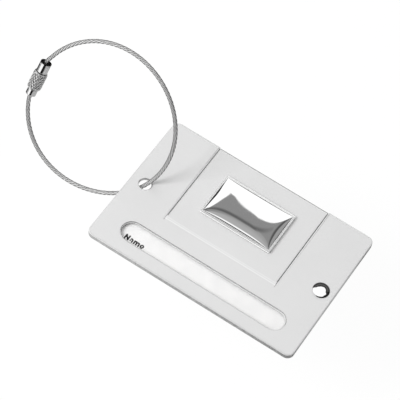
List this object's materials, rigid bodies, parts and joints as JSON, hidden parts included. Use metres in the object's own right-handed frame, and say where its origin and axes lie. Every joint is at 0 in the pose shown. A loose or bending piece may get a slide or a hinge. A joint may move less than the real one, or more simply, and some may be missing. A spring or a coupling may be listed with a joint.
{
  "type": "luggage tag",
  "caption": "Metal luggage tag: slotted cover with a sprung badge tongue, a card tray that swings out on a rivet, and a wire-rope loop with a screw clasp.",
  "frame": {"origin": "centre of the card tray's rear face, midway between the tag's four edges", "axes": "+Z out of the cover's front face, +X along the long edge towards the rivet, +Y towards the badge edge"},
  "size_m": [0.1254, 0.055, 0.047],
  "materials": {
    "cover_metal": "fine satin silver",
    "tongue_metal": "fine satin silver",
    "tape": "matt",
    "badge_rim": "polished",
    "badge_chrome": "mirror polished",
    "tray_metal": "fine satin silver",
    "card": "uncoated white card",
    "film": "clear gloss",
    "rivet": "mirror polished",
    "collar": "semi gloss",
    "washer": "matt",
    "rope": "bright drawn wire",
    "ferrule": "polished nickel",
    "sleeve_metal": "diamond knurled nickel"
  },
  "bodies": {
    "cover": {"front_cover": "cover_metal", "pivot_rivet": "rivet", "friction_washer": "washer", "rivet_collar": "collar"},
    "tongue": {"badge_tongue": "tongue_metal", "badge_adhesive": "tape", "badge_base": "badge_rim", "badge_dome": "badge_chrome"},
    "tray": {"card_tray": "tray_metal", "name_card": "card", "window_film": "film"},
    "cable_mid": {"cable_through": "rope"},
    "cable_upper_a": {"cable_upper_near": "rope"},
    "cable_upper_b": {"cable_upper_far": "rope", "head_ferrule": "ferrule"},
    "cable_lower_a": {"cable_lower_near": "rope"},
    "cable_lower_b": {"cable_lower_far": "rope", "tail_ferrule": "ferrule"},
    "sleeve": {"knurled_sleeve": "sleeve_metal"}
  },
  "joints": [
    {"name": "tray_swivel", "type": "hinge", "parent": "cover", "child": "tray", "pos_m": [0.0351, 0, 0.00045], "axis": [0, 0, 1], "range_deg": [0, 180]},
    {"name": "tongue_flex", "type": "hinge", "parent": "cover", "child": "tongue", "pos_m": [0, -0.007, 0.00165], "axis": [1, 0, 0], "range_deg": [0, 4]},
    {"name": "cable_swing", "type": "hinge", "parent": "cover", "child": "cable_mid", "pos_m": [-0.0344, -0.00035, 0.00152], "axis": [0, 0, 1], "range_deg": [-70, 70]},
    {"name": "loop_open", "type": "hinge", "parent": "cable_mid", "child": "cable_upper_a", "pos_m": [-0.03634, 0.01522, 0.02686], "axis": [-0.0689, 0.8476, -0.5261], "range_deg": [0, 20]},
    {"name": "loop_open_upper_far", "type": "hinge", "parent": "cable_upper_a", "child": "cable_upper_b", "pos_m": [-0.05991, 0.01953, 0.0369], "axis": [-0.0689, 0.8476, -0.5261], "range_deg": [0, 20]},
    {"name": "loop_open_lower_near", "type": "hinge", "parent": "cable_mid", "child": "cable_lower_a", "pos_m": [-0.03884, -0.00343, -0.00286], "axis": [0.0689, -0.8476, 0.5261], "range_deg": [0, 20]},
    {"name": "loop_open_lower_far", "type": "hinge", "parent": "cable_lower_a", "child": "cable_lower_b", "pos_m": [-0.06369, -0.00869, -0.00807], "axis": [0.0689, -0.8476, 0.5261], "range_deg": [0, 20]},
    {"name": "sleeve_turn", "type": "hinge", "parent": "cable_lower_b", "child": "sleeve", "pos_m": [-0.08269, 0.00496, 0.0164], "axis": [0.0713, 0.5302, 0.8449], "continuous": true}
  ],
  "couplings": [
    {"joint": "loop_open_upper_far", "follows": "loop_open", "ratio": 1},
    {"joint": "loop_open_lower_near", "follows": "loop_open", "ratio": 1},
    {"joint": "loop_open_lower_far", "follows": "loop_open", "ratio": 1}
  ]
}
